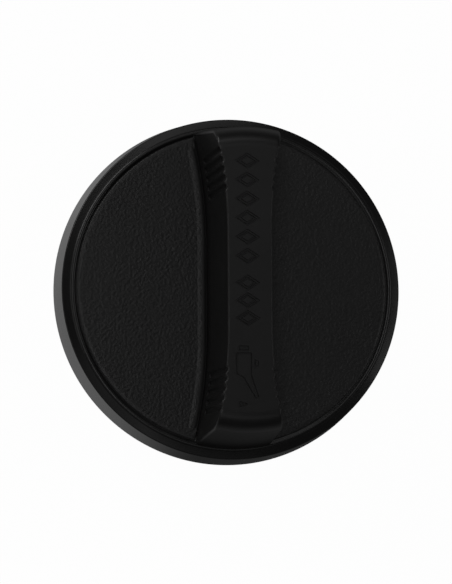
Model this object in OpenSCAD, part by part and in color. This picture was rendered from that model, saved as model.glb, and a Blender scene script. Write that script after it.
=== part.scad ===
// Engine oil filler cap: a moulded cover with a tall waisted grip, the bayonet plug that snaps into
// it from below, and the packing ring that seals against the filler neck.
// Z is the turning axis, Z = 0 is the lower end of the stub, and the grip runs along Y.

/* [Cover] */
// Outside diameter of the skirt at its lower rim
rim_d = 62; // [58:0.5:70]
// How far the skirt leans inwards from its rim to its upper edge
skirt_lean = 0.7; // [0.3:0.1:1.2]
// Height of the skirt from its rim to its upper edge
skirt_h = 7.4; // [6.6:0.1:10]
// Wall thickness of the skirt
skirt_wall = 2; // [1.4:0.1:2.4]
// Thickness of the cover's top plate
plate_t = 2.2; // [1.8:0.1:3]
// Radius that rounds the skirt's upper edge
edge_round = 0.6; // [0.3:0.1:0.8]
// Width of the shoulder, from the skirt's upper edge to the crest of the bead
shoulder_w = 1.4; // [1.2:0.05:2]
// Height of the bead's crest, and of the faces, above the skirt's upper edge
shoulder_rise = 0.8; // [0.6:0.1:1.4]
// Radius of the half-round bead that runs round the faces
bead_r = 0.45; // [0.3:0.05:0.55]
// Width of the gutter between the bead and the faces
gutter_w = 0.7; // [0.5:0.1:1.2]
// Depth of the gutter, and of the moat along the grip, below the faces
gutter_depth = 0.6; // [0.3:0.1:0.9]
// Chamfer along the round edge of the faces
face_chamfer = 0.2; // [0.1:0.05:0.25]

/* [Grip] */
// Height of the grip above the faces
grip_h = 19; // [14:0.5:24]
// Width of the grip's top at the waist
waist_w = 7.7; // [7:0.1:10]
// Length of the straight stretch in the middle of the waist
waist_len = 16; // [10:1:20]
// Radius of the arcs by which the grip widens towards its ends
flare_r = 80; // [65:1:120]
// Draft angle of the grip's long walls
wall_draft = 1.4; // [0.5:0.1:2]
// Draft angle of the grip's end faces
end_draft = 6.4; // [5:0.1:10]
// Radius of the grip's nose, between its flat top and its end face
nose_r = 3.8; // [2:0.1:5]
// Width of the moat between the grip's foot and the faces
moat_w = 1.55; // [1:0.05:2]
// Number of finger flutes on each flank of each end
flute_count = 5; // [1:1:5]
// Distance from one flute to the next
flute_pitch = 1.6; // [1.5:0.05:1.7]
// Distance of the innermost flute from the middle of the grip
flute_start = 15.8; // [12:0.1:16]
// Radius of a flute's round floor
flute_r = 0.7; // [0.6:0.05:1.4]
// Depth of a flute
flute_depth = 0.35; // [0.15:0.05:0.4]
// Height of the flutes' lower ends above the faces
flute_foot = 4.5; // [2:0.5:8]
// Width of the core that hollows the grip from below
core_w = 4; // [3:0.1:4.4]
// Length of the core
core_len = 38; // [30:1:40]
// Thickness of the grip's roof above the core
core_roof = 2.2; // [1.6:0.1:4]
// Number of cross walls in the core
cross_walls = 3; // [1:1:5]

/* [Underside of the cover] */
// Wall thickness of the collar that holds the plug
collar_wall = 1.6; // [1.2:0.1:2]
// How far the snap beads reach in under the flange
snap_bite = 0.5; // [0.3:0.05:0.7]
// Height of the snap beads
snap_h = 1.1; // [0.8:0.1:1.2]
// Number of snap beads
snap_count = 6; // [3:1:8]
// Number of ribs between the collar and the skirt
rib_count = 12; // [6:1:18]
// Thickness of the ribs, and of the cross walls in the core
rib_t = 1.4; // [1:0.1:1.8]
// Height of the ribs below the top plate
rib_h = 4; // [3:0.1:5]
// Number of keys that turn the plug with the cover
key_count = 4; // [2:1:6]
// Width of a drive key
key_w = 4; // [3:0.1:6]
// How far a drive key reaches inwards from the collar
key_depth = 1.6; // [1:0.1:2]

/* [Bayonet plug] */
// Outside diameter of the stub
stub_d = 34; // [32:0.5:36]
// Length of the stub below its flange
stub_len = 16; // [13:0.5:22]
// Wall thickness of the stub
stub_wall = 2.5; // [2:0.1:4]
// Chamfer at the lower end of the stub
stub_chamfer = 0.8; // [0.3:0.1:1.2]
// Thickness of the flange
flange_t = 2.4; // [2:0.1:3]
// Width of the flange around the packing ring
flange_margin = 1.2; // [1:0.1:2]
// Number of bayonet lugs
lug_count = 3; // [2:1:4]
// Angle that a lug spans
lug_angle = 38; // [25:1:45]
// How far a lug stands out from the stub
lug_reach = 2.3; // [1.5:0.1:3]
// Height of a lug at its middle
lug_h = 3; // [2.4:0.1:4]
// Height of a lug's lower face above the stub's end
lug_z = 1.6; // [1:0.1:3]
// Angle of the ramp on top of a lug
lug_ramp = 3; // [1:0.5:5]
// Height of the stop at the high end of a lug, above the lug's middle
stop_h = 4; // [2:0.5:5]
// Thickness of the stop round the stub
stop_t = 2; // [1.5:0.1:3]

/* [Packing ring] */
// Radial width of the packing ring
ring_w = 3.55; // [2.5:0.05:4.5]
// Thickness of the packing ring
ring_t = 3; // [2:0.1:3.3]

/* [Clearances] */
// Gap between the flange and the collar, and at the sides of the keys
snap_gap = 0.1; // [0.05:0.05:0.2]
// Gap between the packing ring and the stub
ring_gap = 0.05; // [0.02:0.01:0.1]

/* [Hidden] */
$fn = 128;
eps = 0.01;
root = 0.4;
// How far the arcs of the flare run past the flat wall of the waist, so that the two cross cleanly
cross = 0.03;
// Steps of the arc over the grip's nose
nose_steps = 8;

// Heights, from the stub's lower end upwards
seat_z = stub_len;
under_z = seat_z + flange_t;
face_z = under_z + plate_t;
edge_z = face_z - shoulder_rise;
rim_z = edge_z - skirt_h;
floor_z = face_z - gutter_depth;
top_z = face_z + grip_h;

// Radii of the cover's rings, from the rim inwards
rim_r = rim_d / 2;
edge_r = rim_r - skirt_lean;
crest_r = edge_r - shoulder_w;
gutter_r = crest_r - bead_r;
face_r = gutter_r - gutter_w;

// Radii of what seats on the stub
stub_r = stub_d / 2;
ring_in_r = stub_r + ring_gap;
ring_out_r = ring_in_r + ring_w;
flange_r = ring_out_r + flange_margin;
collar_in_r = flange_r + snap_gap;
collar_out_r = collar_in_r + collar_wall;

// The grip's end face meets the bead at the height of the faces
nose_foot_r = gutter_r;
nose_tip_r = nose_foot_r - grip_h * tan(end_draft);

// Inner radius of the skirt at height z
function skirt_in_r(z) = rim_r - skirt_wall - skirt_lean * (z - rim_z) / skirt_h;

// Half width of the grip at height z, in the straight stretch of its waist
function half_waist(z) = waist_w / 2 + (top_z - z) * tan(wall_draft);

// How much wider than at its waist the grip is at distance y from the middle, on each side
function flare(y) = flare_r - sqrt(pow(flare_r, 2) - pow(max(0, y - waist_len / 2), 2));

// Unit vector from point a to point b
function toward(a, b) = (b - a) / norm(b - a);

// Points for a corner v between a and b that a circle of radius r rounds: where the circle touches
// the first side, its centre, and where it touches the second side
function rounded_corner(a, v, b, r) =
    let (u = toward(v, a), w = toward(v, b), half = acos(u * w) / 2)
    [v + u * r / tan(half), v + toward([0, 0], u + w) * r / sin(half), v + w * r / tan(half)];

// Points in n steps along the arc round the centre c from p to q
function arc(c, p, q, n) =
    let (start = atan2(p.y - c.y, p.x - c.x), end = atan2(q.y - c.y, q.x - c.x), r = norm(p - c))
    [for (i = [0 : n]) let (a = start + (end - start) * i / n) c + r * [cos(a), sin(a)]];

// Turned body of the cover: skirt, shoulder, bead, gutter and top plate
module cover_shell() {
    bead = [crest_r, face_z - bead_r];
    edge = rounded_corner([rim_r, rim_z], [edge_r, edge_z], bead, edge_round);
    rotate_extrude() {
        polygon([
            [0, under_z], [skirt_in_r(under_z), under_z], [skirt_in_r(rim_z), rim_z], [rim_r, rim_z],
            edge[0], edge[1], edge[2], bead, [gutter_r, face_z - bead_r], [gutter_r, floor_z],
            [face_r, floor_z], [face_r, face_z - face_chamfer], [face_r - face_chamfer, face_z],
            [0, face_z]
        ]);
        translate(edge[1]) circle(r = edge_round);
        translate(bead) circle(r = bead_r);
    }
}

// Space on both sides of the waisted, drafted grip between heights z0 and z1, with its walls moved
// outwards by gap
module beside_grip(z0, z1, gap) {
    axis_x = waist_w / 2 + flare_r;
    r0 = axis_x - half_waist(z0) - gap;
    r1 = axis_x - half_waist(z1) - gap;
    for (side = [0, 1]) mirror([side, 0, 0]) {
        for (y = [-1, 1]) translate([axis_x, y * waist_len / 2, z0])
            cylinder(h = z1 - z0, r1 = r0 + cross, r2 = r1 + cross, $fn = 360);
        rotate([90, 0, 0]) linear_extrude(height = waist_len, center = true)
            polygon([[axis_x - r0, z0], [axis_x, z0], [axis_x, z1], [axis_x - r1, z1]]);
    }
}

// Turned envelope of the grip's two ends, with the rounded nose
module grip_ends() {
    nose = rounded_corner([0, top_z], [nose_tip_r, top_z], [nose_foot_r, face_z], nose_r);
    rotate_extrude() polygon(concat(
        [[0, floor_z - root], [nose_foot_r, floor_z - root], [nose_foot_r, face_z]],
        arc(nose[1], nose[2], nose[0], nose_steps),
        [[0, top_z]]
    ));
}

// One finger flute at distance y from the middle of the grip, on its +X wall
module flute(y) {
    foot = face_z + flute_foot;
    translate([half_waist(foot) + flare(y) + flute_r - flute_depth, y, foot]) rotate([0, -wall_draft, 0]) {
        cylinder(h = grip_h, r = flute_r, $fn = 48);
        sphere(r = flute_r, $fn = 48);
    }
}

module grip() {
    difference() {
        grip_ends();
        beside_grip(floor_z - 2 * root, top_z + root, 0);
        for (x = [0, 1], y = [0, 1], i = [0 : flute_count - 1])
            mirror([x, 0, 0]) mirror([0, y, 0]) flute(flute_start + i * flute_pitch);
    }
}

// Moat along both sides of the grip's foot, open to the gutter at its ends
module moat() {
    difference() {
        translate([0, 0, floor_z]) cylinder(h = gutter_depth + root, r = gutter_r);
        beside_grip(floor_z - root, face_z + 2 * root, moat_w);
    }
}

// Space that hollows the grip from below, between its cross walls
module core() {
    cell = (core_len - cross_walls * rib_t) / (cross_walls + 1);
    for (i = [0 : cross_walls])
        translate([-core_w / 2, -core_len / 2 + i * (cell + rib_t), under_z - eps])
            cube([core_w, cell, top_z - core_roof - under_z + eps]);
}

// Collar round the flange, with the snap beads under it and the keys that turn it
module collar() {
    low_z = seat_z - snap_gap - snap_h;
    bead_angle = 180 / snap_count;
    difference() {
        translate([0, 0, low_z]) cylinder(h = under_z - low_z + root, r = collar_out_r);
        translate([0, 0, low_z - eps]) cylinder(h = under_z - low_z + eps, r = collar_in_r);
    }
    for (i = [0 : snap_count - 1]) rotate(i * 360 / snap_count) rotate_extrude(angle = bead_angle)
        polygon([
            [collar_in_r + root, low_z], [collar_in_r, low_z],
            [flange_r - snap_bite, seat_z - snap_gap - snap_h / 3],
            [flange_r - snap_bite, seat_z - snap_gap], [collar_in_r + root, seat_z - snap_gap]
        ]);
    for (i = [0 : key_count - 1]) rotate((i + 0.5) * 360 / key_count)
        translate([flange_r - key_depth, -key_w / 2, seat_z + snap_gap])
            cube([key_depth + snap_gap + root, key_w, flange_t - snap_gap + root]);
}

// Ribs that stiffen the cover between its collar and its skirt
module ribs() {
    intersection() {
        rotate_extrude() polygon([
            [collar_out_r - root, under_z - rib_h], [skirt_in_r(under_z - rib_h) + root, under_z - rib_h],
            [skirt_in_r(under_z) + root, under_z + root], [collar_out_r - root, under_z + root]
        ]);
        for (i = [0 : rib_count - 1]) rotate((i + 0.5) * 360 / rib_count)
            translate([0, -rib_t / 2, under_z - rib_h]) cube([rim_r, rib_t, rib_h + root]);
    }
}

module cap_cover() {
    color("#1d1c1b") difference() {
        union() {
            difference() {
                cover_shell();
                moat();
            }
            grip();
            collar();
            ribs();
        }
        core();
    }
}

// One bayonet lug at the angle 0, with its ramp and the stop at the ramp's high end
module lug() {
    out_r = stub_r + lug_reach;
    stop_angle = stop_t / stub_r * 180 / PI;
    mid_z = lug_z + lug_h;
    difference() {
        rotate(-lug_angle / 2) rotate_extrude(angle = lug_angle)
            translate([stub_r - root, lug_z]) square([lug_reach + root, 2 * lug_h]);
        rotate([lug_ramp, 0, 0]) translate([0, -out_r, mid_z]) cube([2 * out_r, 2 * out_r, 2 * lug_h]);
    }
    rotate(lug_angle / 2 - stop_angle) rotate_extrude(angle = stop_angle)
        translate([stub_r - root, lug_z]) square([lug_reach + root, lug_h + stop_h]);
}

module bayonet_plug() {
    in_r = stub_r - stub_wall;
    color("#2b2b2d") {
        difference() {
            union() {
                translate([0, 0, seat_z]) cylinder(h = flange_t, r = flange_r);
                translate([0, 0, stub_chamfer]) cylinder(h = seat_z - stub_chamfer + eps, r = stub_r);
                cylinder(h = stub_chamfer, r1 = stub_r - stub_chamfer, r2 = stub_r);
            }
            translate([0, 0, -eps]) cylinder(h = seat_z + eps, r = in_r);
            for (i = [0 : key_count - 1]) rotate((i + 0.5) * 360 / key_count)
                translate([flange_r - key_depth - snap_gap, -key_w / 2 - snap_gap, seat_z - eps])
                    cube([key_depth + 1, key_w + 2 * snap_gap, flange_t + 2 * eps]);
        }
        for (i = [0 : lug_count - 1]) rotate(i * 360 / lug_count) lug();
    }
}

module seal_ring() {
    color("#3b3a38") translate([0, 0, seat_z - ring_t]) difference() {
        cylinder(h = ring_t, r = ring_out_r);
        translate([0, 0, -eps]) cylinder(h = ring_t + 2 * eps, r = ring_in_r);
    }
}

cap_cover();
bayonet_plug();
seal_ring();
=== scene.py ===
import math

import bmesh
import bpy
import numpy as np
from mathutils import Matrix, Vector


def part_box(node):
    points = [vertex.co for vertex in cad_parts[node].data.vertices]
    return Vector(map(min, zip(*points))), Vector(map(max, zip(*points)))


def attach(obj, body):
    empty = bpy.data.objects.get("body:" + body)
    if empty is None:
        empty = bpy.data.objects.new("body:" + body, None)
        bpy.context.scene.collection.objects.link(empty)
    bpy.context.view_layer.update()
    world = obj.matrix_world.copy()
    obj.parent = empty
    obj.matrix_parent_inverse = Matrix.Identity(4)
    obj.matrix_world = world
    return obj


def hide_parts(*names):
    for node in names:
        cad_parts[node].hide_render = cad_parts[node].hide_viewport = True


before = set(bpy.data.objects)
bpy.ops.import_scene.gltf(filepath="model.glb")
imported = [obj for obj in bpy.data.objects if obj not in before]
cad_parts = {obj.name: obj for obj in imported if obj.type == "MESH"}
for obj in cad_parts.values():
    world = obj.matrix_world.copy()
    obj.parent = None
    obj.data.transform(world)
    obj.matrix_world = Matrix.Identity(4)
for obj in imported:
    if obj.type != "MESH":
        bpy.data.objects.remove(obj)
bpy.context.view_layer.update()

# An engine oil filler cap. Its lengths are in millimetres until a mesh is made. The lights, the
# floor and the camera's distance are in metres. Angles are written in degrees.
MM = 0.001

# Sizes that the frame gives, and the height of the grip above the faces
COVER_LOW, COVER_HIGH = (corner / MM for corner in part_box("cap_cover"))
PLUG_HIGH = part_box("bayonet_plug")[1] / MM
RING_LOW, RING_HIGH = (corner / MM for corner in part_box("seal_ring"))
RIM_R = min(COVER_HIGH.x, COVER_HIGH.y)
RIM_Z = COVER_LOW.z
TOP_Z = COVER_HIGH.z
UNDER_Z = PLUG_HIGH.z
SEAT_Z = RING_HIGH.z
FLANGE_R = PLUG_HIGH.x
RING_OUT_R = RING_HIGH.x
GRIP_H = 19.0
FACE_Z = TOP_Z - GRIP_H

# Skirt, shoulder and bead. The bead's arc starts at its foot, an angle up from straight out, and
# ends at its turn, an angle past the crest.
SKIRT_LEAN = 0.7
SKIRT_WALL = 2.0
SHOULDER_RISE = 0.8
EDGE_ROUND = 0.3
EDGE_R = RIM_R - SKIRT_LEAN
EDGE_Z = FACE_Z - SHOULDER_RISE
CREST_IN = 1.85
CREST_R = EDGE_R - CREST_IN
BEAD_R = 0.65
BEAD_FOOT = math.radians(39)
BEAD_TURN = math.radians(30)

# Gutter, and the two faces with their rounded rims
GUTTER_W = 0.7
GUTTER_DEPTH = 0.24
GUTTER_FILLET = 0.12
GUTTER_END = 0.1
GUTTER_Z = FACE_Z - GUTTER_DEPTH
FACE_R = CREST_R - GUTTER_W
FACE_EDGE_H = 0.22
FACE_EDGE_W = 0.8
FACE_CORNER = 0.6

# Moat beside the grip: a low lip on the face, and a valley from its crest to the grip's foot. The
# plate that it lies on ends a little inside the faces' rims.
MOAT_DEPTH = 0.1
MOAT_END = 0.9
FLOOR_Z = FACE_Z - MOAT_DEPTH
VALLEY_W = 0.93
LIP_H = 0.09
LIP_W = 1.0
LIP_FADE = 1.5

# Grip: a waisted bar with drafted walls, rounded noses and finger flutes
WAIST_W = 7.8
HALF_WAIST_LEN = 8.0
FLARE_R = 80.0
FLARE_X = WAIST_W / 2 + FLARE_R
WALL_DRAFT = math.tan(math.radians(1.4))
END_DRAFT = math.radians(6.4)
NOSE_R = 3.8
GRIP_EDGE = 0.28
GRIP_CORNER = 0.5
GRIP_FOOT = 0.12
GRIP_SINK = 0.02
FLUTE_START = 15.7
FLUTE_PITCH = 1.6
FLUTE_COUNT = 5
FLUTES = [FLUTE_START + FLUTE_PITCH * i for i in range(FLUTE_COUNT)]
FLUTE_MARGIN = 1.1
FLUTE_FADE = 0.4
FLUTE_R = 0.7
FLUTE_DEPTH = 0.3
FLUTE_FOOT_H = 3.6
FLUTE_FOOT_Z = FACE_Z + FLUTE_FOOT_H
FLUTE_BLEND = 0.035
CORE_W = 4.0
CORE_LEN = 38.0
CORE_ROOF = 2.2
CORE_ROUND = 0.4
CROSS_WALLS = 3
RIB_T = 1.4

# Marks sunk into the grip's top, in a frame that runs along the grip from far to near. A row of
# diamonds has the place of its first, its pitch and its count. The oil can's corners have radii.
MARK_X = -0.45
MARK_Y = 21.8
LINE_W = 0.34
LINE_DEPTH = 0.2
LINE_DRAFT = 0.08
LINE_CLEAR = 0.1
DIAMOND_HALF_W = 2.3
DIAMOND_HALF_LEN = 1.45
DIAMOND_CORNER = 0.15
DIAMOND_STROKE = 0.72
LONG_ROW = (1.5, 3.3, 6)
SHORT_ROW = (22.6, 3.05, 3)
DIAMONDS = [start + pitch * i for start, pitch, count in (LONG_ROW, SHORT_ROW) for i in range(count)]
OIL_CAN_START = 33.4
OIL_CAN = (
    [(1.2, -2.2, 0.3), (5.0, -2.2, 0.3), (5.7, -0.9, 0.2), (9.3, 1.2, 0.1), (8.9, 1.95, 0.1),
     (5.2, 0.7, 0.3), (1.2, 0.7, 0.3)],
    [(0.0, -1.7, 0.3), (0.95, -1.7, 0.08), (0.95, 0.2, 0.08), (0.0, 0.2, 0.3)],
    [(2.3, 1.0, 0.1), (3.9, 1.0, 0.1), (3.6, 1.9, 0.2), (2.6, 1.9, 0.2)],
    [(9.4, -1.7, 0.35), (10.8, -1.7, 0.35), (10.1, 0.1, 0.05)],
)

# Underside of the cover, with the radii of its edges and roots
COLLAR_GAP = 0.1
COLLAR_WALL = 1.6
COLLAR_IN_R = FLANGE_R + COLLAR_GAP
COLLAR_OUT_R = COLLAR_IN_R + COLLAR_WALL
COLLAR_ROOT_IN = 0.12
COLLAR_EDGE_IN = 0.2
COLLAR_EDGE_OUT = 0.3
COLLAR_ROOT_OUT = 0.5
SKIRT_ROOT = 0.8
RIM_EDGE_IN = 0.35
RIM_EDGE_OUT = 0.2
SNAP_H = 1.1
SNAP_BITE = 0.5
SNAP_EDGE_TOP = 0.1
SNAP_EDGE_LOW = 0.2
SNAP_COUNT = 6
SNAP_GAP = 0.1
SNAP_TOP_Z = SEAT_Z - SNAP_GAP
SNAP_LOW_Z = SNAP_TOP_Z - SNAP_H
RIB_COUNT = 12
RIB_H = 4.0
RIB_BITE = 0.8
RIB_EDGE = 0.25
KEY_COUNT = 4
KEY_W = 4.0
KEY_DEPTH = 1.6
KEY_GAP = 0.1
KEY_CORNER = 0.3
KEY_EDGE = 0.15
SLOT_EDGE = 0.1

# Bayonet plug and packing ring, with the radii of their edges and roots
STUB_R = 17.0
STUB_WALL = 2.5
STUB_CHAMFER = 0.8
STUB_ROOT = 0.6
STUB_EDGE = 0.3
STUB_LEAD_IN = 0.2
FLANGE_EDGE_LOW = 0.12
FLANGE_EDGE_TOP = 0.3
LUG_COUNT = 3
LUG_ANGLE = 38.0
LUG_REACH = 2.3
LUG_H = 3.0
LUG_Z = 1.6
LUG_RAMP = math.tan(math.radians(3))
LUG_CORNER = 0.4
LUG_EDGE = 0.25
STOP_H = 4.0
STOP_T = 2.0
STOP_CORNER = 0.5
RING_GAP = 0.05
RING_IN_R = STUB_R + RING_GAP
RING_EDGE = 0.3

# Fineness of the meshes: the steps of each curve, and the heights of some of the grip's loops
TURN_STEPS = 288
ARC_STEP = math.radians(11)
PAD_STEPS = 5
SNAP_STEPS = 24
BEAD_STEPS = 14
FACE_WAIST_STEPS = 2
FACE_FLARE_STEPS = 23
FACE_CORNER_STEPS = 8
FACE_ARC_STEPS = 70
FACE_EDGE_STEPS = 12
LIP_STEPS = 120
LIP_ARC_STEPS = 8
LINE_CORNER_STEPS = 4
WAIST_STEPS = 4
FLARE_STEPS = 7
FLUTED_STEPS = 57
TAIL_STEPS = 39
GRIP_CORNER_STEPS = 7
GRIP_END_STEPS = 12
FOOT_STEPS = 5
LOW_WALL_H = 2.0
LEVEL_GAP = 0.1
FLUTE_FOOT_STEPS = 8
WALL_STEPS = 5
NOSE_STEPS = 10

# Edges sharper than CREASE stay sharp. Parts of one piece reach into each other by EMBED, and
# TOUCH is the least length that counts.
CREASE = math.radians(30)
EMBED = 0.5
TOUCH = 0.01


def unit(vector):
    """The vector's direction, one long."""
    return vector / np.linalg.norm(vector)


def rounded(corners, steps=None):
    """Closed outline through corners (x, y, radius), each rounded by an arc of its radius."""
    places = [np.array(corner[:2], float) for corner in corners]
    points = []
    for i, place in enumerate(places):
        radius = corners[i][2]
        if radius == 0:
            points.append(place)
            continue
        back = unit(places[i - 1] - place)
        ahead = unit(places[(i + 1) % len(places)] - place)
        half = math.acos(np.clip(back @ ahead, -1, 1)) / 2
        centre = place + unit(back + ahead) * radius / math.sin(half)
        start = place + back * radius / math.tan(half) - centre
        turn = math.pi - 2 * half
        if back[0] * ahead[1] - back[1] * ahead[0] > 0:
            turn = -turn
        count = steps or max(2, math.ceil(abs(turn) / ARC_STEP))
        for angle in np.linspace(0, turn, count + 1):
            c, s = math.cos(angle), math.sin(angle)
            points.append(centre + [c * start[0] - s * start[1], s * start[0] + c * start[1]])
    return np.array(points)


def inset(corners, distance):
    """Corners of a counterclockwise outline moved inwards, with their radii to match."""
    places = [np.array(corner[:2], float) for corner in corners]
    moved = []
    for i, place in enumerate(places):
        before = unit(place - places[i - 1])
        after = unit(places[(i + 1) % len(places)] - place)
        inward = np.array([-before[1] - after[1], before[0] + after[0]])
        corner = place + distance * inward / (1 + before @ after)
        radius = corners[i][2]
        if radius:
            bulges = before[0] * after[1] - before[1] * after[0] > 0
            radius = max(radius - distance, TOUCH) if bulges else radius + distance
        moved.append((*corner, radius))
    return moved


def skin(name, loops, joined=False):
    """Closed mesh through loops of equally many points, capped at its ends or joined into a ring."""
    rows, count = len(loops), len(loops[0])
    faces = []
    for row in range(rows if joined else rows - 1):
        a, b = row * count, (row + 1) % rows * count
        faces += [(a + i, a + (i + 1) % count, b + (i + 1) % count, b + i) for i in range(count)]
    if not joined:
        faces.append(tuple(reversed(range(count))))
        faces.append(tuple(range((rows - 1) * count, rows * count)))
    mesh = bpy.data.meshes.new(name)
    mesh.from_pydata((np.concatenate(loops) * MM).tolist(), [], faces)
    work = bmesh.new()
    work.from_mesh(mesh)
    bmesh.ops.recalc_face_normals(work, faces=work.faces)
    work.to_mesh(mesh)
    work.free()
    piece = bpy.data.objects.new(name, mesh)
    bpy.context.scene.collection.objects.link(piece)
    return piece


def flat(points, z):
    """Plan points lifted to the height z."""
    return np.column_stack([points, np.full(len(points), z)])


def turned(name, outline, joined=False):
    """Solid of revolution through outline points (r, z), open at the axis or joined into a ring."""
    angles = np.arange(TURN_STEPS) * 2 * math.pi / TURN_STEPS
    ring = np.column_stack([np.cos(angles), np.sin(angles)])
    return skin(name, [flat(ring * r, z) for r, z in outline], joined)


def spun(points, degrees):
    """Points turned about the Z axis."""
    c, s = math.cos(math.radians(degrees)), math.sin(math.radians(degrees))
    return points @ np.array([[c, s, 0], [-s, c, 0], [0, 0, 1]])


def pad(name, corners, base, top, edge, place):
    """Solid with a rounded outline from base to top, its upper edge rounded, set by place()."""
    side = math.copysign(1, top - base)
    loops = [place(rounded(corners, PAD_STEPS), base)]
    for angle in np.linspace(0, math.pi / 2, PAD_STEPS + 1):
        outline = rounded(inset(corners, edge * (1 - math.cos(angle))), PAD_STEPS)
        loops.append(place(outline, top - side * edge * (1 - math.sin(angle))))
    return skin(name, loops)


def block(x0, x1, y0, y1, radius):
    """Corners of a rectangle, all of one radius."""
    return [(x0, y0, radius), (x1, y0, radius), (x1, y1, radius), (x0, y1, radius)]


def combined(base, tools, operation):
    """Joins the tools to base, or cuts them out of it, and deletes them."""
    for tool in tools:
        step = base.modifiers.new("combine", "BOOLEAN")
        step.operation = operation
        step.solver = "MANIFOLD"
        step.object = tool
    graph = bpy.context.evaluated_depsgraph_get()
    made = bpy.data.meshes.new_from_object(base.evaluated_get(graph))
    base.modifiers.clear()
    base.data = made
    for tool in tools:
        bpy.data.objects.remove(tool)
    return base


def circles_cross(a, ra, b, rb):
    """Where the circle round a meets the circle round b, on the side of the positive y."""
    a, b = np.array(a, float), np.array(b, float)
    gap = np.linalg.norm(b - a)
    along = (ra**2 - rb**2 + gap**2) / (2 * gap)
    off = math.sqrt(ra**2 - along**2)
    u = (b - a) / gap
    both = [a + u * along + side * off * np.array([-u[1], u[0]]) for side in (1, -1)]
    return max(both, key=lambda p: p[1])


def arc(centre, start, end, steps):
    """Points along the shorter arc round centre from start to end."""
    p, q = start - centre, end - centre
    first = math.atan2(p[1], p[0])
    turn = (math.atan2(q[1], q[0]) - first + math.pi) % (2 * math.pi) - math.pi
    angles = first + np.linspace(0, turn, steps + 1)
    return centre + np.linalg.norm(p) * np.column_stack([np.cos(angles), np.sin(angles)])


def half_waist(z):
    """Half width of the grip's waist at the height z."""
    return WAIST_W / 2 + (TOP_Z - z) * WALL_DRAFT


def wall_x(y, wall_r):
    """Half width at distance y from the middle, of a wall whose flare has the radius wall_r."""
    return FLARE_X - np.sqrt(wall_r**2 - np.maximum(0, np.abs(y) - HALF_WAIST_LEN) ** 2)


def flute_depth(y, z):
    """How deep the finger flutes cut into the grip's wall."""
    below = max(0, FLUTE_FOOT_Z - z)
    depth = np.zeros_like(y)
    for middle in FLUTES:
        reach = np.sqrt(np.maximum(FLUTE_R**2 - (y - middle) ** 2 - below**2, 0))
        cut = (reach - FLUTE_R + FLUTE_DEPTH) / FLUTE_BLEND
        depth += FLUTE_BLEND * np.logaddexp(0, cut)
    return depth


def nose_profile():
    """Centre of the nose's arc, and its lower end on the grip's end face, as (r, z)."""
    foot = np.array([CREST_R, FACE_Z])
    tip = np.array([CREST_R - GRIP_H * math.tan(END_DRAFT), TOP_Z])
    inward, down = np.array([-1.0, 0]), unit(foot - tip)
    half = math.acos(inward @ down) / 2
    centre = tip + unit(inward + down) * NOSE_R / math.sin(half)
    return centre, tip + down * NOSE_R / math.tan(half)


NOSE_CENTRE, NOSE_END = nose_profile()


def end_r(z):
    """Radius of the grip's ends at the height z."""
    if z <= NOSE_END[1]:
        return CREST_R - (z - FACE_Z) * math.tan(END_DRAFT)
    rise = min(z - NOSE_CENTRE[1], NOSE_R)
    return NOSE_CENTRE[0] + math.sqrt(NOSE_R**2 - rise**2)


def wall_inset(z):
    """How far the grip's walls stand in from their draft: a fillet at the foot, a rounded top edge."""
    foot_top = FLOOR_Z + GRIP_FOOT - GRIP_SINK
    if z < foot_top:
        return math.sqrt(max(GRIP_FOOT**2 - (foot_top - z) ** 2, 0)) - GRIP_FOOT
    edge_low = TOP_Z - GRIP_EDGE
    if z > edge_low:
        return GRIP_EDGE - math.sqrt(max(GRIP_EDGE**2 - (z - edge_low) ** 2, 0))
    return 0.0


def grip_levels():
    """Heights of the grip's loops, close together where its surface bends."""
    foot_angles = np.linspace(0, math.pi / 2, FOOT_STEPS + 1)
    foot = [FLOOR_Z + GRIP_FOOT * (1 - math.cos(a)) - GRIP_SINK for a in foot_angles]
    flute = np.linspace(FLUTE_FOOT_Z - FLUTE_R, FLUTE_FOOT_Z + LEVEL_GAP, FLUTE_FOOT_STEPS + 1)
    wall = np.linspace(FLUTE_FOOT_Z + 3 * LEVEL_GAP, NOSE_END[1], WALL_STEPS + 1)[:-1]
    low = math.asin((NOSE_END[1] - NOSE_CENTRE[1]) / NOSE_R)
    edge = math.asin((TOP_Z - GRIP_EDGE - NOSE_CENTRE[1]) / NOSE_R)
    end = np.linspace(low, edge, NOSE_STEPS + 1)
    top = np.linspace(edge, math.pi / 2, NOSE_STEPS + 1)
    nose = [NOSE_CENTRE[1] + NOSE_R * math.sin(a) for a in (*end, *top[1:])]
    return [FLOOR_Z - EMBED, *foot, FACE_Z, FACE_Z + LOW_WALL_H, *flute, *wall, *nose]


def wall_places():
    """Fixed distances from the middle for the points along the grip's walls."""
    fluted = FLUTES[0] - FLUTE_MARGIN
    last = FLUTES[-2] + FLUTE_R
    waist = np.linspace(0, HALF_WAIST_LEN, WAIST_STEPS + 1)[:-1]
    flare = np.linspace(HALF_WAIST_LEN, fluted, FLARE_STEPS + 1)[:-1]
    return np.concatenate([waist, flare, np.linspace(fluted, last, FLUTED_STEPS + 1)])


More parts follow.
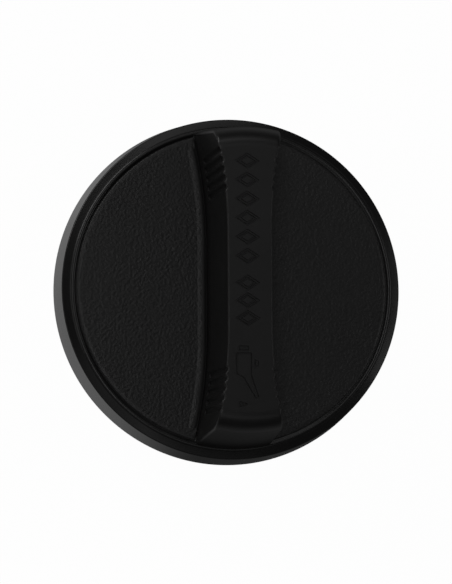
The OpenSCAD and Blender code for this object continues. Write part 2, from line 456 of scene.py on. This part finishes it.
def grip_quarter(z):
    """Outline of a quarter of the grip at the height z, from its wall to the middle of its end."""
    outer = end_r(z)
    wall_r = FLARE_X - half_waist(z) + wall_inset(z)
    flare_middle = np.array([FLARE_X, HALF_WAIST_LEN])
    centre = circles_cross(flare_middle, wall_r + GRIP_CORNER, (0, 0), outer - GRIP_CORNER)
    wall_end = centre + unit(flare_middle - centre) * GRIP_CORNER
    end_start = centre + unit(centre) * GRIP_CORNER
    fixed = wall_places()
    tail = fixed[-1] + np.linspace(0, 1, TAIL_STEPS + 1)[1:-1] * (wall_end[1] - fixed[-1])
    y = np.concatenate([fixed, tail])
    fade = np.clip((wall_end[1] - y) / FLUTE_FADE, 0, 1)
    wall = np.column_stack([wall_x(y, wall_r) - flute_depth(y, z) * fade, y])
    corner = arc(centre, wall_end, end_start, GRIP_CORNER_STEPS)
    end = arc(np.zeros(2), end_start, np.array([0, outer]), GRIP_END_STEPS)
    return np.concatenate([wall, corner, end[1:]])


def mirrored(quarter):
    """Closed outline from one quarter that runs from the x axis to the y axis."""
    flip_x, flip_y = np.array([-1, 1]), np.array([1, -1])
    return np.concatenate([
        quarter[:-1], (quarter * flip_x)[::-1][:-1], -quarter[:-1], (quarter * flip_y)[::-1][:-1]
    ])


def groove(corners):
    """Closed line to sink into the grip's top, along the inside of an outline in the marks' frame."""
    low = TOP_Z - LINE_DEPTH
    high = TOP_Z + LINE_CLEAR
    loops = []
    for distance, z in ((0, high), (LINE_DRAFT, low), (LINE_W - LINE_DRAFT, low), (LINE_W, high)):
        along, across = rounded(inset(corners, distance), LINE_CORNER_STEPS).T
        loops.append(flat(np.column_stack([MARK_X + across, MARK_Y - along]), z))
    return skin("groove", loops, joined=True)


def diamond(middle):
    """Corners of a diamond in the marks' frame."""
    far, near = middle - DIAMOND_HALF_LEN, middle + DIAMOND_HALF_LEN
    corners = ((far, 0), (middle, -DIAMOND_HALF_W), (near, 0), (middle, DIAMOND_HALF_W))
    return [(*corner, DIAMOND_CORNER) for corner in corners]


def marks():
    """Lines of the marks: a row of outlined diamonds with a gap, and an oil can."""
    outlines = []
    for middle in DIAMONDS:
        outlines += [diamond(middle), inset(diamond(middle), DIAMOND_STROKE - LINE_W)]
    for outline in OIL_CAN:
        outlines.append([(along + OIL_CAN_START, across, radius) for along, across, radius in outline])
    return [groove(outline) for outline in outlines]


def grip():
    """The tall waisted grip with its marks, sunk a little into the cover's plate."""
    bar = skin("grip", [flat(mirrored(grip_quarter(z)), z) for z in grip_levels()])
    return combined(bar, marks(), "DIFFERENCE")


# Radius of the flare that the lip's crest follows, beside the grip
CREST_WALL_R = FLARE_X - half_waist(FACE_Z) - VALLEY_W


def face_outline(edge, slope):
    """Half-moon outline on the +X side, edge inside the face's rim and slope past the lip's crest."""
    wall_r = CREST_WALL_R + slope
    outer = FACE_R - edge
    flare_middle = np.array([FLARE_X, HALF_WAIST_LEN])
    centre = circles_cross(flare_middle, wall_r - FACE_CORNER, (0, 0), outer - FACE_CORNER)
    wall_end = centre + unit(centre - flare_middle) * FACE_CORNER
    round_start = centre + unit(centre) * FACE_CORNER
    waist = np.linspace(0, HALF_WAIST_LEN, FACE_WAIST_STEPS + 1)[:-1]
    flare = np.linspace(HALF_WAIST_LEN, wall_end[1], FACE_FLARE_STEPS + 1)
    y = np.concatenate([waist, flare])
    wall = np.column_stack([wall_x(y, wall_r), y])
    corner = arc(centre, wall_end, round_start, FACE_CORNER_STEPS)
    rim = arc(np.zeros(2), round_start, np.array([outer, 0]), FACE_ARC_STEPS)
    upper = np.concatenate([wall, corner[1:], rim[1:]])
    lower = (upper * [1, -1])[::-1][1:-1]
    return np.concatenate([upper, lower])


def face_section(drop):
    """How far the face stands in from its rim and past the lip's crest, at a drop below its top."""
    slope = VALLEY_W * math.sqrt((drop + LIP_H) / (MOAT_DEPTH + LIP_H))
    above = max(0, 1 - drop / FACE_EDGE_H)
    return FACE_EDGE_W * (1 - math.sqrt(1 - above**2)), slope


def face(side):
    """One of the two half-moon faces, rounded off to the gutter and sloping down to the grip."""
    angles = np.linspace(math.pi / 2, 0, FACE_EDGE_STEPS + 1)
    drops = [FACE_EDGE_H * (1 - math.cos(a)) for a in angles]
    loops = [flat(face_outline(*face_section(drops[0])), FLOOR_Z - EMBED)]
    loops += [flat(face_outline(*face_section(drop)), FACE_Z - drop) for drop in drops]
    return skin("face", [loop * [side, 1, 1] for loop in loops])


def lip(side):
    """Low rounded lip along a face's valley, sinking into the face at its ends."""
    inner = face_section(0)[1] - TOUCH
    rise = np.linspace(1, 0, LIP_ARC_STEPS + 1)
    fall = np.linspace(0, 1, LIP_ARC_STEPS + 1)[1:]
    across = np.concatenate([[LIP_W], LIP_W * rise, -inner * fall, [-inner]])
    height = np.concatenate([[-MOAT_DEPTH], LIP_H * (1 - rise**2), LIP_H * (1 - fall**2), [-MOAT_DEPTH]])
    reach = face_outline(0, 0)[:, 1].max() - FACE_CORNER
    loops = []
    for y in np.linspace(-reach, reach, LIP_STEPS + 1):
        sink = 2 * LIP_H * max(0, 1 - (reach - abs(y)) / LIP_FADE)
        x = wall_x(y, CREST_WALL_R) + across
        loops.append(np.column_stack([side * x, np.full(len(x), y), FACE_Z + height - sink]))
    return skin("lip", loops)


def skirt_in_r(z):
    """Radius of the skirt's inner wall at the height z."""
    return RIM_R - SKIRT_WALL - SKIRT_LEAN * (z - RIM_Z) / (EDGE_Z - RIM_Z)


def shell():
    """Turned body of the cover, with the collar underneath and the bead on top."""
    bead = np.array([CREST_R, FACE_Z - BEAD_R])
    angles = np.linspace(BEAD_FOOT, math.pi / 2 + BEAD_TURN, BEAD_STEPS + 1)
    crest = [(*(bead + BEAD_R * np.array([math.cos(a), math.sin(a)])), 0) for a in angles]
    last_r, last_z = crest[-1][:2]
    gutter_r = last_r - (last_z - GUTTER_Z) / math.tan(BEAD_TURN)
    corners = [
        (0, UNDER_Z, 0), (COLLAR_IN_R, UNDER_Z, COLLAR_ROOT_IN), (COLLAR_IN_R, SNAP_LOW_Z, COLLAR_EDGE_IN),
        (COLLAR_OUT_R, SNAP_LOW_Z, COLLAR_EDGE_OUT), (COLLAR_OUT_R, UNDER_Z, COLLAR_ROOT_OUT),
        (skirt_in_r(UNDER_Z), UNDER_Z, SKIRT_ROOT), (skirt_in_r(RIM_Z), RIM_Z, RIM_EDGE_IN),
        (RIM_R, RIM_Z, RIM_EDGE_OUT), (EDGE_R, EDGE_Z, EDGE_ROUND), *crest,
        (gutter_r, GUTTER_Z, GUTTER_FILLET), (FACE_R - GUTTER_END, GUTTER_Z, GUTTER_END),
        (FACE_R - MOAT_END, FLOOR_Z, GUTTER_END), (0, FLOOR_Z, 0),
    ]
    return turned("cover", rounded(corners)[1:-1])


def snap_bead(index):
    """One of the beads in the collar that hold the plug's flange."""
    tip_r = FLANGE_R - SNAP_BITE
    corners = [
        (COLLAR_IN_R + EMBED, SNAP_LOW_Z, 0), (COLLAR_IN_R + EMBED, SNAP_TOP_Z, 0),
        (tip_r, SNAP_TOP_Z, SNAP_EDGE_TOP), (tip_r, SNAP_TOP_Z - SNAP_H / 3, SNAP_EDGE_LOW),
        (COLLAR_IN_R, SNAP_LOW_Z, 0),
    ]
    outline = rounded(corners)
    section = np.column_stack([outline[:, 0], np.zeros(len(outline)), outline[:, 1]])
    first = index * 360 / SNAP_COUNT
    angles = np.linspace(first, first + 180 / SNAP_COUNT, SNAP_STEPS + 1)
    return skin("snap_bead", [spun(section, angle) for angle in angles])


def around(count, corners, base, top, edge):
    """Equal pads spread round the axis, half a pitch off the X axis."""
    pads = []
    for i in range(count):
        degrees = (i + 0.5) * 360 / count
        pads.append(pad("pad", corners, base, top, edge, lambda p, h: spun(flat(p, h), degrees)))
    return pads


def core_cells():
    """Spaces that hollow the grip from below, between its cross walls."""
    cell = (CORE_LEN - CROSS_WALLS * RIB_T) / (CROSS_WALLS + 1)
    cells = []
    for i in range(CROSS_WALLS + 1):
        y = -CORE_LEN / 2 + i * (cell + RIB_T)
        corners = block(-CORE_W / 2, CORE_W / 2, y, y + cell, CORE_ROUND)
        cells.append(pad("cell", corners, UNDER_Z - EMBED, TOP_Z - CORE_ROOF, CORE_ROUND, flat))
    return cells


def cover():
    """The whole moulded cover as one closed mesh."""
    rib = block(COLLAR_OUT_R - EMBED, skirt_in_r(UNDER_Z) + RIB_BITE, -RIB_T / 2, RIB_T / 2, 0)
    key = block(FLANGE_R - KEY_DEPTH, COLLAR_IN_R + EMBED, -KEY_W / 2, KEY_W / 2, KEY_CORNER)
    ribs = around(RIB_COUNT, rib, UNDER_Z + EMBED, UNDER_Z - RIB_H, RIB_EDGE)
    keys = around(KEY_COUNT, key, UNDER_Z + EMBED, SEAT_Z + KEY_GAP, KEY_EDGE)
    beads = [snap_bead(i) for i in range(SNAP_COUNT)]
    added = [face(1), face(-1), lip(1), lip(-1), grip(), *ribs, *keys, *beads]
    return combined(combined(shell(), added, "UNION"), core_cells(), "DIFFERENCE")


def lug(index):
    """One ramped bayonet lug with its stop, wrapped round the stub."""
    half = math.radians(LUG_ANGLE / 2) * STUB_R
    rise = half * LUG_RAMP
    mid = LUG_Z + LUG_H
    stop = half - STOP_T
    corners = [
        (-half, LUG_Z, LUG_CORNER), (half, LUG_Z, LUG_CORNER), (half, mid + STOP_H, STOP_CORNER),
        (stop, mid + STOP_H, STOP_CORNER), (stop, mid + rise * stop / half, STOP_CORNER),
        (-half, mid - rise, STOP_CORNER),
    ]
    first = 2 * math.pi * index / LUG_COUNT

    def wrapped(points, radius):
        """Flat points bent round the axis at a radius."""
        angles = first + points[:, 0] / STUB_R
        return np.column_stack([radius * np.cos(angles), radius * np.sin(angles), points[:, 1]])

    return pad("lug", corners, STUB_R - EMBED, STUB_R + LUG_REACH, LUG_EDGE, wrapped)


def plug():
    """The bayonet plug: flange, hollow stub, lugs and key slots."""
    in_r = STUB_R - STUB_WALL
    corners = [
        (0, SEAT_Z, 0), (in_r, SEAT_Z, STUB_ROOT), (in_r, 0, STUB_EDGE),
        (STUB_R - STUB_CHAMFER, 0, STUB_LEAD_IN), (STUB_R, STUB_CHAMFER, STUB_EDGE), (STUB_R, SEAT_Z, 0),
        (FLANGE_R, SEAT_Z, FLANGE_EDGE_LOW), (FLANGE_R, UNDER_Z, FLANGE_EDGE_TOP), (0, UNDER_Z, 0),
    ]
    half = KEY_W / 2 + KEY_GAP
    slot = block(FLANGE_R - KEY_DEPTH - KEY_GAP, FLANGE_R + 2 * EMBED, -half, half, KEY_CORNER)
    slots = around(KEY_COUNT, slot, SEAT_Z - EMBED, UNDER_Z + EMBED, SLOT_EDGE)
    lugs = [lug(i) for i in range(LUG_COUNT)]
    piece = combined(turned("plug", rounded(corners)[1:-1]), lugs, "UNION")
    return combined(piece, slots, "DIFFERENCE")


def packing():
    """The packing ring, with rounded edges."""
    section = block(RING_IN_R, RING_OUT_R, RING_LOW.z, RING_HIGH.z, RING_EDGE)
    return turned("packing", rounded(section), joined=True)


def smoothed(piece):
    """Smooth shading with creases, weighted so that flat faces stay flat."""
    piece.data.shade_smooth()
    piece.data.set_sharp_from_angle(angle=CREASE)
    weighted = piece.modifiers.new("weighted", "WEIGHTED_NORMAL")
    weighted.keep_sharp = True


# Plastics and rubber: name, colour, roughness, and the grain's size and height
BLACK = (0.003, 0.0029, 0.0029)
SATIN = ("satin", BLACK, 0.34, 0.14, 0.006)
GRAINED = ("grained", BLACK, 0.37, 0.5, 0.088)
RIM = ("rim", BLACK, 0.22, 0.14, 0.003)
PLUG_PLASTIC = ("plug_plastic", (0.003, 0.003, 0.0031), 0.5, 0.15, 0.006)
SEAL_RUBBER = ("seal_rubber", (0.0035, 0.0033, 0.0032), 0.75, 0.2, 0.01)
SPECULAR = 0.27
NOISE_DETAIL = 3
CLOUD_SCALE = 120
CLOUD_SPREAD = 0.04

# Where the cover's looks end: the grain stops short of the grip, and the rim's look starts a little
# inside the skirt's top and below the shoulder. Only surfaces that face upwards are grained.
GRAIN_GAP = 1.1
RIM_BAND_IN = 0.2
RIM_BAND_LOW = 1.0
UPWARD = 0.5


def set_inputs(tree, node, inputs):
    """Sets a shader node's inputs to values, or links them to other nodes' outputs."""
    for key, value in inputs.items():
        if isinstance(value, bpy.types.NodeSocket):
            tree.links.new(value, node.inputs[key])
        else:
            node.inputs[key].default_value = value


def add_node(tree, kind, inputs=None, **settings):
    """New shader node with its inputs and its own settings."""
    node = tree.nodes.new(kind)
    for key, value in settings.items():
        setattr(node, key, value)
    set_inputs(tree, node, inputs or {})
    return node


def moulded(name, colour, roughness, grain_size, grain_height):
    """Moulded plastic or rubber with fine grain and a slightly uneven gloss."""
    material = bpy.data.materials.new(name)
    material.use_nodes = True
    tree = material.node_tree
    place = add_node(tree, "ShaderNodeTexCoord").outputs["Object"]
    grain = add_node(tree, "ShaderNodeTexNoise", {
        "Vector": place, "Scale": 1 / (grain_size * MM), "Detail": NOISE_DETAIL
    })
    bump = add_node(tree, "ShaderNodeBump", {
        "Height": grain.outputs["Fac"], "Strength": 1.0, "Distance": grain_height * MM
    })
    cloud = add_node(tree, "ShaderNodeTexNoise", {
        "Vector": place, "Scale": CLOUD_SCALE, "Detail": NOISE_DETAIL
    })
    spread = add_node(tree, "ShaderNodeMapRange", {
        "Value": cloud.outputs["Fac"],
        "To Min": roughness - CLOUD_SPREAD, "To Max": roughness + CLOUD_SPREAD
    })
    set_inputs(tree, tree.nodes["Principled BSDF"], {
        "Base Color": (*colour, 1), "Specular IOR Level": SPECULAR,
        "Roughness": spread.outputs["Result"], "Normal": bump.outputs["Normal"]
    })
    return material


def paint(piece, *looks):
    """Gives a piece its materials, with the first one all over."""
    piece.data.materials.clear()
    for look in looks:
        piece.data.materials.append(moulded(*look))


def paint_cover(piece):
    """Satin plastic all over, grained on the two faces and smoother round the rim."""
    paint(piece, SATIN, GRAINED, RIM)
    foot_wall_r = FLARE_X - half_waist(FACE_Z)
    for polygon in piece.data.polygons:
        x, y, z = polygon.center / MM
        r = math.hypot(x, y)
        on_top = EDGE_Z - RIM_BAND_LOW < z < FACE_Z + LIP_H
        on_face = z > GUTTER_Z + TOUCH and r < FACE_R and abs(x) - wall_x(y, foot_wall_r) > GRAIN_GAP
        if on_top and on_face and polygon.normal.z > UPWARD:
            polygon.material_index = 1
        elif r > EDGE_R - RIM_BAND_IN or (on_top and r > FACE_R):
            polygon.material_index = 2


def paint_plug(piece):
    """One satin plastic."""
    paint(piece, PLUG_PLASTIC)


def paint_packing(piece):
    """One matt rubber."""
    paint(piece, SEAL_RUBBER)


def dress():
    """Makes the three pieces and puts them in the place of their nodes."""
    for node, make, paint_piece, slot in (
        ("cap_cover", cover, paint_cover, "cover_plastic"),
        ("bayonet_plug", plug, paint_plug, "plug_plastic"),
        ("seal_ring", packing, paint_packing, "seal_rubber"),
    ):
        piece = make()
        piece.name = f"{node}_shape"
        smoothed(piece)
        paint_piece(piece)
        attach(piece, "root")
        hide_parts(node)


# Camera: almost straight above, leaning back over the lower left. Its lens and sensor are in
# millimetres.
CAMERA_TILT = 10.65
CAMERA_TURN = 210.3
CAMERA_ROLL = 0.31
CAMERA_TARGET = Vector((-1.136, -0.643, FACE_Z)) * MM
CAMERA_DISTANCE = 0.61
CAMERA_LENS = 212.3
CAMERA_SENSOR = 36


def set_camera():
    """The photograph's camera."""
    tilt, turn, roll = (math.radians(a) for a in (CAMERA_TILT, CAMERA_TURN, CAMERA_ROLL))
    back = Vector((math.sin(tilt) * math.cos(turn), math.sin(tilt) * math.sin(turn), math.cos(tilt)))
    up = (Vector((0, 1, 0)) - back * back.y).normalized()
    right = up.cross(back)
    rolled_right = right * math.cos(roll) - up * math.sin(roll)
    rolled_up = up * math.cos(roll) + right * math.sin(roll)
    data = bpy.data.cameras.new("camera")
    data.lens = CAMERA_LENS
    data.sensor_width = CAMERA_SENSOR
    camera = bpy.data.objects.new("camera", data)
    bpy.context.scene.collection.objects.link(camera)
    place = Matrix.Translation(CAMERA_TARGET + back * CAMERA_DISTANCE)
    camera.matrix_world = place @ Matrix((rolled_right, rolled_up, back)).transposed().to_4x4()
    bpy.context.scene.camera = camera


# Soft boxes: name, azimuth and elevation of the direction, size in metres, and radiance
BOX_DISTANCE = 1.0
BOX_TARGET = Vector((0, 0, 0.02))
SOFT_BOXES = (
    ("key", 135, 26, (0.7, 0.3), 4.9),
    ("left", 180, 26, (0.7, 0.3), 1.1),
    ("left_high", 225, 43, (0.57, 0.3), 0.4),
    ("overhead", 180, 77, (0.7, 0.19), 2.6),
    ("far_high", 90, 73, (0.6, 0.3), 0.65),
    ("far", 90, 43, (0.57, 0.3), 1.1),
    ("right", 0, 43, (0.57, 0.3), 1.9),
    ("near_high", 270, 58, (0.6, 0.3), 0.6),
)
SKY = 0.1

# The floor. In the object's gloss it shows a painted reflection: an emitted glow that stands in for the
# lit floor and the object's shadow on it, bright near the object on its left, dim near it elsewhere, and
# even further off. FLOOR_WHITE is the share of white that the camera sees.
WHITE = (1, 1, 1, 1)
FLOOR_HALF = 2.0
FLOOR_GREY = 0.85
FLOOR_ROUGHNESS = 0.9
FLOOR_SPECULAR = 0.1
FLOOR_WHITE = 0.98
# Brightness of the painted reflection: near the object, extra on its left, and further off, and the radii
# it fades between
FLOOR_NEAR = 0.05
FLOOR_LEFT = 0.37
FLOOR_FAR = 0.27
FLOOR_NEAR_R = 0.045
FLOOR_FAR_R = 0.09
LEFT = (-1, 0, 0)
LEFT_FROM = 0.1
LEFT_TO = 0.9


def set_lights():
    """Soft boxes round the part, hidden from the camera."""
    for name, azimuth, elevation, size, radiance in SOFT_BOXES:
        a, e = math.radians(azimuth), math.radians(elevation)
        direction = Vector((math.cos(a) * math.cos(e), math.sin(a) * math.cos(e), math.sin(e)))
        data = bpy.data.lights.new(name, "AREA")
        data.shape = "RECTANGLE"
        data.size, data.size_y = size
        data.energy = radiance * math.pi * size[0] * size[1]
        lamp = bpy.data.objects.new(name, data)
        bpy.context.scene.collection.objects.link(lamp)
        lamp.location = BOX_TARGET + direction * BOX_DISTANCE
        lamp.rotation_mode = "QUATERNION"
        lamp.rotation_quaternion = direction.to_track_quat("Z", "Y")
        lamp.visible_camera = False


def set_world():
    """Plain dim sky that the camera sees as white."""
    world = bpy.data.worlds.new("world")
    world.use_nodes = True
    bpy.context.scene.world = world
    tree = world.node_tree
    path = add_node(tree, "ShaderNodeLightPath")
    strength = add_node(tree, "ShaderNodeMapRange", {
        "Value": path.outputs["Is Camera Ray"], "To Min": SKY, "To Max": 1.0
    })
    set_inputs(tree, tree.nodes["Background"], {"Color": WHITE, "Strength": strength.outputs["Result"]})


def painted_floor_reflection(tree):
    """Painted reflection of the floor in the object's gloss, standing in for the lit floor and the
    object's shadow: near it bright on the left and dim elsewhere, further off even.
    """
    place = add_node(tree, "ShaderNodeNewGeometry").outputs["Position"]
    outward = add_node(tree, "ShaderNodeVectorMath", {0: place}, operation="NORMALIZE").outputs["Vector"]
    leftness = add_node(tree, "ShaderNodeVectorMath", {0: outward, 1: LEFT}, operation="DOT_PRODUCT")
    near = add_node(tree, "ShaderNodeMapRange", {
        "Value": leftness.outputs["Value"], "From Min": LEFT_FROM, "From Max": LEFT_TO,
        "To Min": FLOOR_NEAR, "To Max": FLOOR_NEAR + FLOOR_LEFT
    }, interpolation_type="SMOOTHSTEP")
    distance = add_node(tree, "ShaderNodeVectorMath", {0: place}, operation="LENGTH")
    glow = add_node(tree, "ShaderNodeMapRange", {
        "Value": distance.outputs["Value"], "From Min": FLOOR_NEAR_R, "From Max": FLOOR_FAR_R,
        "To Min": near.outputs["Result"], "To Max": FLOOR_FAR
    }, interpolation_type="SMOOTHSTEP")
    return glow.outputs["Result"]


def floor_material():
    """White to the camera with its soft shadow kept, a painted reflection in gloss, open from below."""
    material = bpy.data.materials.new("floor")
    material.use_nodes = True
    tree = material.node_tree
    matt = tree.nodes["Principled BSDF"]
    set_inputs(tree, matt, {
        "Base Color": (FLOOR_GREY, FLOOR_GREY, FLOOR_GREY, 1),
        "Roughness": FLOOR_ROUGHNESS, "Specular IOR Level": FLOOR_SPECULAR
    })
    path = add_node(tree, "ShaderNodeLightPath")
    white = add_node(tree, "ShaderNodeEmission", {"Color": WHITE})
    share = add_node(tree, "ShaderNodeMath", {
        0: path.outputs["Is Camera Ray"], 1: FLOOR_WHITE
    }, operation="MULTIPLY")
    seen = add_node(tree, "ShaderNodeMixShader", {
        "Fac": share.outputs["Value"], 1: matt.outputs["BSDF"], 2: white.outputs["Emission"]
    })
    # Painted reflection: the floor's emitted glow in the object's gloss, standing in for the lit floor and
    # the object's shadow
    painted_reflection = add_node(tree, "ShaderNodeEmission", {"Color": WHITE, "Strength": painted_floor_reflection(tree)})
    glossy = add_node(tree, "ShaderNodeMixShader", {
        "Fac": path.outputs["Is Glossy Ray"], 1: seen.outputs["Shader"], 2: painted_reflection.outputs["Emission"]
    })
    below = add_node(tree, "ShaderNodeNewGeometry").outputs["Backfacing"]
    clear = add_node(tree, "ShaderNodeBsdfTransparent")
    surface = add_node(tree, "ShaderNodeMixShader", {
        "Fac": below, 1: glossy.outputs["Shader"], 2: clear.outputs["BSDF"]
    })
    set_inputs(tree, tree.nodes["Material Output"], {"Surface": surface.outputs["Shader"]})
    return material


def set_floor():
    """Wide pale floor under the part."""
    h = FLOOR_HALF
    mesh = bpy.data.meshes.new("floor")
    mesh.from_pydata([(-h, -h, 0), (h, -h, 0), (h, h, 0), (-h, h, 0)], [], [(0, 1, 2, 3)])
    floor = bpy.data.objects.new("floor", mesh)
    bpy.context.scene.collection.objects.link(floor)
    mesh.materials.append(floor_material())


dress()
set_camera()
set_lights()
set_world()
set_floor()
bpy.context.scene.view_settings.view_transform = "Standard"
